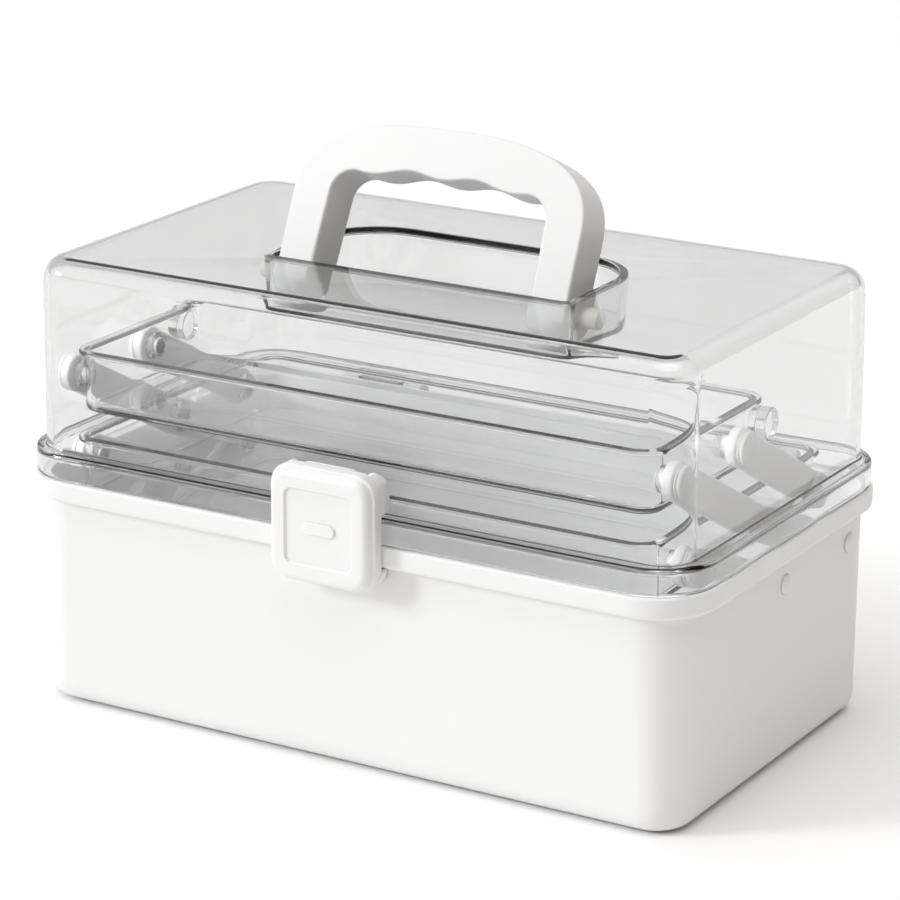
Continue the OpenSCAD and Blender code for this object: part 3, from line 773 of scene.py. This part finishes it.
def arm_outline(pivots):
    """Outline of a bar that runs through its pivots, with a round eye at both ends."""
    pts = [Vector(p) for p in pivots]
    upper, lower = [], []
    for i in range(len(pts) - 2, 0, -1):
        upper += bend(pts[i - 1], pts[i], pts[i + 1], 1)
        lower += bend(pts[i - 1], pts[i], pts[i + 1], -1)
    outline = eye(pts[-1], pts[-1] - pts[-2]) + upper + eye(pts[0], pts[0] - pts[1]) + lower[::-1]
    return [(p.x, p.y) for p in outline]


def build_arms():
    chains = (
        ("long_arm_", [TUB_PIVOTS[1], ELBOW, UPPER_PIVOTS[0]], "long_arms"),
        ("lower_arm_", [TUB_PIVOTS[0], MIDDLE_PIVOTS[0]], "lower_arms"),
        ("upper_arm_", [MIDDLE_PIVOTS[1], UPPER_PIVOTS[1]], "upper_arms"),
    )
    for prefix, pivots, body in chains:
        outline = arm_outline(pivots)
        for side, word in SIDES:
            bm = bmesh.new()
            plate(bm, outline, ARM_IN, ARM_OUT, edge=1.0, turn=lambda x, u, v, s=side: (s * x, u, v))
            arm = make_object("shown_" + prefix + word, bm, ARM_WHITE, body, "arm_plastic")
            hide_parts(prefix + word)


# Latch

def front_ring(half_w, half_h, r, y):
    """Rounded rectangle that faces the front at depth y, round the latch's middle."""
    return [(p[0], y, p[1] + LATCH_MID) for p in ring(half_w, -half_h, half_h, r, 0.0)]


def latch_ring(inset, y):
    least_r = 1.5
    return front_ring(LATCH_W - inset, LATCH_H / 2 - inset, max(least_r, LATCH_R - inset), y)


def panel_ring(out, y):
    """Ring of the sunken panel in the latch's face."""
    half = 15.5
    r = 3.0
    return front_ring(half + out, half + out, r + out, y)


def latch_hollow():
    """Rings of the hollow behind the plate, from its floor to its mouth."""
    floor = LATCH_FACE + 2.6
    return [
        latch_ring(LATCH_WALL + 1.0, floor), latch_ring(LATCH_WALL, floor + 1.0),
        latch_ring(LATCH_WALL, PLATE_BACK + 0.1), latch_ring(LATCH_WALL - 0.4, PLATE_BACK),
    ]


def latch_front():
    """Rings from the plate's rear edge over the step and the pillowed face into the panel."""
    step = LATCH_FACE + 4.4
    step_r = 0.6
    face_in = 1.3
    face_r = 3.0
    lip_r = 0.4
    panel = LATCH_FACE + 1.0
    panel_r = 0.5
    rings = [latch_ring(0.4, PLATE_BACK), latch_ring(0.0, PLATE_BACK - 0.4), latch_ring(0.0, step)]
    rings += [latch_ring(inset, step - step_r + rest) for rest, inset in rounding(step_r)]
    rings += [latch_ring(face_in - 0.15, LATCH_FACE + 3.75), latch_ring(face_in, LATCH_FACE + 3.5)]
    rings += [latch_ring(face_in + inset, LATCH_FACE + y) for y, inset in rounding(face_r, 8)]
    rings += [panel_ring(lip_r + 0.9, LATCH_FACE), panel_ring(lip_r + 0.2, LATCH_FACE)]
    rings += [panel_ring(out, LATCH_FACE + y) for out, y in rounding(lip_r, 3)]
    rings += [panel_ring(-inset, panel - y) for y, inset in rounding(panel_r, 3)]
    rings.append(panel_ring(-1.2, panel))
    return rings


def latch_skirt(bm, line, reach):
    """Strip of the latch's wall behind the plate, along (x, z) points of its outline, to depth reach(z)."""
    wall = LATCH_WALL + 0.1
    start = PLATE_BACK - 0.6
    flat_w = LATCH_W - LATCH_R
    flat_h = LATCH_H / 2 - LATCH_R
    rings = []
    for x, z in line:
        core = (clamp(x, -flat_w, flat_w), clamp(z, LATCH_MID - flat_h, LATCH_MID + flat_h))
        away = Vector((x - core[0], z - core[1])).normalized()
        stop = reach(z)
        section = (
            (0.0, start), (0.0, stop - 0.5), (0.06, stop - 0.15), (0.2, stop),
            (0.8, stop), (0.94, stop - 0.15), (1.0, stop - 0.5), (1.0, start),
        )
        rings.append([(x - away.x * wall * part, y, z - away.y * wall * part) for part, y in section])
    loft(bm, rings)


def latch_skirts(bm):
    """Side walls and top of the latch, with a slot for each lug, and the hook under the rim."""
    pivot_y, pivot_z = LATCH_PIVOT
    rise = LATCH_TOP - pivot_z

    def upper_reach(z):
        if z <= pivot_z:
            return LATCH_BACK
        return pivot_y + math.sqrt(max(0.3, rise * rise - (z - pivot_z) ** 2))

    def hook_reach(z):
        return -TUB_D - 0.6

    slot = 3.2
    outline = [(p[0], p[2]) for p in latch_ring(0.0, 0.0)]
    upper_side = [(LATCH_W, LATCH_FOOT)] + [p for p in outline if p[0] > LUG_X + slot and p[1] > pivot_z]
    latch_skirt(bm, upper_side, upper_reach)
    latch_skirt(bm, [(-x, z) for x, z in upper_side], upper_reach)
    latch_skirt(bm, [(-LUG_X + slot, LATCH_TOP), (LUG_X - slot, LATCH_TOP)], upper_reach)
    hook_z = RIM_LOW - 0.5
    lower_edge = [(-LATCH_W, hook_z)] + [p for p in outline if p[1] < hook_z] + [(LATCH_W, hook_z)]
    latch_skirt(bm, lower_edge, hook_reach)


def build_latch():
    bm = bmesh.new()
    loft(bm, latch_hollow() + latch_front())
    latch_skirts(bm)
    latch = make_object("latch_plate", bm, WHITE, "latch_plate", "white_plastic")
    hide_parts("latch")


def build_latch_bar():
    """Plain raised bar on the panel, and the rod that the latch turns on."""
    half_w = 7.5
    r = 2.5
    front = LATCH_FACE + 0.1
    edge_in = 0.4
    edge_deep = 0.5
    bm = bmesh.new()
    lathe(bm, rod(-ROD_REACH, ROD_REACH, ROD_R, edge=0.3), LATCH_PIVOT)
    rings = [front_ring(half_w, r, r, LATCH_FACE + 1.3)]
    for deep, inset in rounding(1.0):
        inset *= edge_in
        rings.append(front_ring(half_w - inset, r - inset, r - inset, front + edge_deep * deep))
    loft(bm, rings)
    make_object("latch_bar", bm, WHITE, "latch_plate", "white_plastic")


# Handle

def handle_outline():
    """Outline in the handle's own plane, with its pivots at height 0: arch, legs and wavy grip."""
    foot_w = HANDLE_W - LEG_W
    grip_w = foot_w - LEG_GROW
    flat_w = grip_w - GRIP_CORNER_R
    leg_end = -HANDLE_THICK / 2
    arch_steps = 60
    grip_steps = 48

    def arch(x):
        rise = (1 - min(1, abs(x) / HANDLE_W) ** ARCH_POWER) ** (1 / ARCH_POWER)
        return ARCH_START + (HANDLE_REACH - ARCH_START) * rise

    def grip(x):
        wave = FINGER_WAVE * math.cos(2 * math.pi * x / FINGER_PITCH)
        return GRIP_HEIGHT - GRIP_SAG * (x / grip_w) ** 2 - wave

    def along_arch(i):
        x = HANDLE_W * math.cos(math.pi * i / arch_steps)
        return x, arch(x)

    def along_grip(i):
        x = flat_w * (2 * i / grip_steps - 1)
        return x, grip(x)

    corner_z = grip(flat_w) - GRIP_CORNER_R
    outline = [along_arch(i) for i in range(arch_steps + 1)]
    outline += [(-HANDLE_W, LEG_WIDE_AT), (-HANDLE_W, leg_end), (-foot_w, leg_end)]
    outline += round_points((-flat_w, corner_z), GRIP_CORNER_R, arc(180, 90, 12))
    outline += [along_grip(i) for i in range(1, grip_steps)]
    outline += round_points((flat_w, corner_z), GRIP_CORNER_R, arc(90, 0, 12))
    outline += [(foot_w, leg_end), (HANDLE_W, leg_end), (HANDLE_W, LEG_WIDE_AT)]
    return outline


def build_handle():
    lean = math.radians(HANDLE_LEAN)
    pivot_y, pivot_z = HANDLE_PIVOT
    foot_r = HANDLE_THICK / 2

    def turn(depth, x, height):
        """Rounds the feet round the pivot and leans the handle back."""
        if height < 0:
            height = max(height, -math.sqrt(max(0.0, foot_r * foot_r - depth * depth)))
        y = pivot_y + depth * math.cos(lean) + height * math.sin(lean)
        return x, y, pivot_z - depth * math.sin(lean) + height * math.cos(lean)

    bm = bmesh.new()
    plate(bm, handle_outline(), -foot_r, foot_r, edge=1.0, steps=5, between=16, turn=turn)
    # The handle gets the darker copy of the white moulding, which paints shade on it
    handle = make_object("carry_grip", bm, GRIP_WHITE_PAINTED_SHADE, "carry_handle", "white_plastic")
    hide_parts("handle")


def dress_hinge_pins():
    """The steel pins keep their CAD form."""
    for name in ("hinge_pin_left", "hinge_pin_right"):
        materials = nodes[name].data.materials
        materials.clear()
        materials.append(STEEL)


# Floor, light and camera

def build_stage():
    bm = bmesh.new()
    bmesh.ops.create_grid(bm, x_segments=2, y_segments=2, size=12.0)
    mesh = bpy.data.meshes.new("floor")
    bm.to_mesh(mesh)
    bm.free()
    floor = bpy.data.objects.new("floor", mesh)
    bpy.context.scene.collection.objects.link(floor)
    below_feet = 0.0004
    floor.location = (0, 0, -below_feet)
    mat, tree, shader = new_material("paper_floor")
    grain = noise(tree, object_coords(tree), scale=3.0)
    add_tint(tree, shader, grain, dark=(0.93, 0.93, 0.93), light=(0.95, 0.95, 0.95))
    shader.inputs["Roughness"].default_value = 0.9
    shader.inputs["Specular IOR Level"].default_value = 0.1
    mesh.materials.append(mat)


def glow(tree, coords, aim, start, stop):
    """Factor from 0 to 1 as the cosine between a direction and aim goes from start to stop."""
    towards = tree.nodes.new("ShaderNodeVectorMath")
    towards.operation = "DOT_PRODUCT"
    towards.inputs[1].default_value = Vector(aim).normalized()
    tree.links.new(coords, towards.inputs[0])
    rise = tree.nodes.new("ShaderNodeMapRange")
    rise.interpolation_type = "SMOOTHSTEP"
    rise.inputs["From Min"].default_value = start
    rise.inputs["From Max"].default_value = stop
    tree.links.new(towards.outputs["Value"], rise.inputs["Value"])
    return rise.outputs["Result"]


def build_world():
    """Dim warm studio with pale walls at the rear and at the left, and a white ceiling panel."""
    world = bpy.data.worlds.new("studio")
    bpy.context.scene.world = world
    world.use_nodes = True
    tree = world.node_tree
    coords = tree.nodes.new("ShaderNodeTexCoord").outputs["Generated"]
    dim = (0.230, 0.203, 0.180, 1)
    panels = (
        {"aim": (-0.5, 0.85, 0.25), "start": 0.6, "stop": 0.85, "level": 0.64},
        {"aim": (-0.85, -0.5, 0.25), "start": 0.45, "stop": 0.8, "level": 0.72},
        {"aim": (0.1, -0.12, 1.0), "start": 0.79, "stop": 0.92, "level": 2.25},
    )
    source = None
    for panel in panels:
        mix = tree.nodes.new("ShaderNodeMix")
        mix.data_type = "RGBA"
        mix.inputs["A"].default_value = dim
        mix.inputs["B"].default_value = (panel["level"],) * 3 + (1,)
        if source:
            tree.links.new(source, mix.inputs["A"])
        factor = glow(tree, coords, panel["aim"], panel["start"], panel["stop"])
        tree.links.new(factor, mix.inputs["Factor"])
        source = mix.outputs["Result"]
    tree.links.new(source, tree.nodes["Background"].inputs["Color"])


def build_key():
    """Broad soft key light from the front left, a little cool against the warm studio."""
    direction = Vector((1.2, 1.0, -0.7))
    data = bpy.data.lights.new("key", "SUN")
    data.energy = 1.36
    data.color = (0.985, 1.0, 1.01)
    data.angle = math.radians(16)
    key = bpy.data.objects.new("key", data)
    bpy.context.scene.collection.objects.link(key)
    key.rotation_mode = "QUATERNION"
    key.rotation_quaternion = direction.to_track_quat("-Z", "Y")


def build_camera():
    az, el, roll = math.radians(AZIMUTH), math.radians(ELEVATION), math.radians(ROLL)
    back = Vector((math.sin(az) * math.cos(el), -math.cos(az) * math.cos(el), math.sin(el)))
    level = Vector((math.cos(az), math.sin(az), 0))
    upright = back.cross(level)
    right = level * math.cos(roll) + upright * math.sin(roll)
    up = upright * math.cos(roll) - level * math.sin(roll)
    place = (back * CAMERA_BACK + right * CAMERA_RIGHT + up * CAMERA_UP) * MM
    data = bpy.data.cameras.new("camera")
    data.sensor_width = 36
    data.lens = FOCAL_PX / PHOTO_PX * data.sensor_width
    data.shift_x = SHIFT_X_PX / PHOTO_PX
    data.shift_y = SHIFT_Y_PX / PHOTO_PX
    data.clip_start = 0.05
    data.clip_end = 60
    camera = bpy.data.objects.new("camera", data)
    bpy.context.scene.collection.objects.link(camera)
    rotation = Matrix((right, up, back)).transposed()
    camera.matrix_world = Matrix.Translation(place) @ rotation.to_4x4()
    bpy.context.scene.camera = camera


def set_look():
    """Plain view of the colours, and light paths long enough for the clear walls behind each other."""
    scene = bpy.context.scene
    bounces = 24
    scene.view_settings.view_transform = "Standard"
    scene.cycles.max_bounces = bounces
    scene.cycles.transmission_bounces = bounces
    scene.cycles.transparent_max_bounces = bounces
    scene.cycles.caustics_refractive = True


build_tub()
build_tub_knuckles()
build_lid()
build_lid_knuckles()
build_lugs()
build_tray("tray_middle", "middle_tray", "middle_level", MIDDLE_TRAY, MIDDLE_PIVOTS + [ELBOW])
build_tray("tray_upper", "upper_tray", "upper_level", UPPER_TRAY, UPPER_PIVOTS, studs=True)
build_pins()
build_arms()
build_latch()
build_latch_bar()
build_handle()
dress_hinge_pins()
build_stage()
build_world()
build_key()
build_camera()
set_look()
